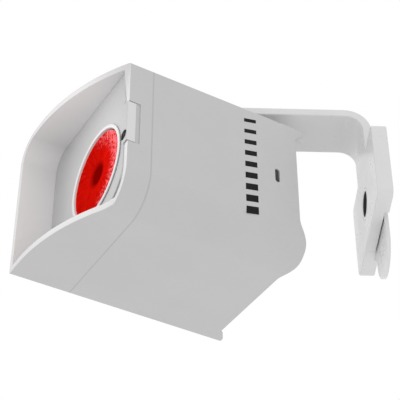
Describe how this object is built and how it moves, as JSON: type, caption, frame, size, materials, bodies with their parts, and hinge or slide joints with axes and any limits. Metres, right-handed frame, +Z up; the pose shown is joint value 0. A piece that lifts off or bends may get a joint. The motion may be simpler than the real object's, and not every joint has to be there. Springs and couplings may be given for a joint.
{
  "type": "garage door opener receiver",
  "caption": "Hooded optical receiver of a garage door opener: red lens in a square housing that swivels under a bent strap on a wall hub.",
  "frame": {"origin": "on the hub axis, at the back face of the wall plate", "axes": "+X into the wall, +Z up, the device hangs out along -X"},
  "size_m": [0.1218, 0.0804, 0.0681],
  "materials": {
    "shell": "fine moulded grain",
    "panel": "satin",
    "lens": "clear red, ringed",
    "bezel": "satin",
    "rubber": "matt",
    "black_plastic": "matt",
    "sensor": "gloss",
    "board": "solder mask",
    "relay_case": "gloss",
    "terminal_case": "matt",
    "capacitor_can": "sleeved",
    "antenna_wire": "bare",
    "steel": "zinc plated",
    "button": "matt",
    "nylon": "natural",
    "bracket": "powder coat",
    "eyelet": "powder coat",
    "wall_plate": "powder coat"
  },
  "bodies": {
    "wall_mount": {"wall_plate": "wall_plate", "friction_washer": "rubber"},
    "bracket": {"bracket_arm": "bracket", "hub_eyelet": "eyelet"},
    "receiver": {"front_hood": "shell", "main_housing": "shell", "rear_cover": "shell", "sensor_panel": "panel", "lens": "lens", "lens_bezel": "bezel", "lens_gasket": "rubber", "rear_gasket": "rubber", "cable_grommet": "rubber", "light_tube": "black_plastic", "photodiode": "sensor", "light_eye": "sensor", "main_board": "board", "button_board": "board", "processor": "black_plastic", "relay": "relay_case", "terminal_block": "terminal_case", "capacitor": "capacitor_can", "antenna": "antenna_wire", "board_screws": "steel", "cover_screws": "steel", "pivot_screw": "steel", "pivot_washer": "steel", "spring_washer": "steel", "pivot_nut": "steel", "tact_switch": "black_plastic", "swivel_washer": "nylon"},
    "learn_key": {"learn_button": "button"}
  },
  "joints": [
    {"name": "bracket_swivel", "type": "hinge", "parent": "wall_mount", "child": "bracket", "pos_m": [0, 0, 0], "axis": [1, 0, 0], "range_deg": [-12, 12]},
    {"name": "housing_swivel", "type": "hinge", "parent": "bracket", "child": "receiver", "pos_m": [-0.0696, 0, 0.0308], "axis": [0, 0, 1], "range_deg": [-115, 60]},
    {"name": "learn_press", "type": "slide", "parent": "receiver", "child": "learn_key", "axis": [-0.4741, 0.8805, 0], "range_m": [0, 0.0008], "stiffness_N_per_m": 400, "springref_m": -0.0004}
  ]
}
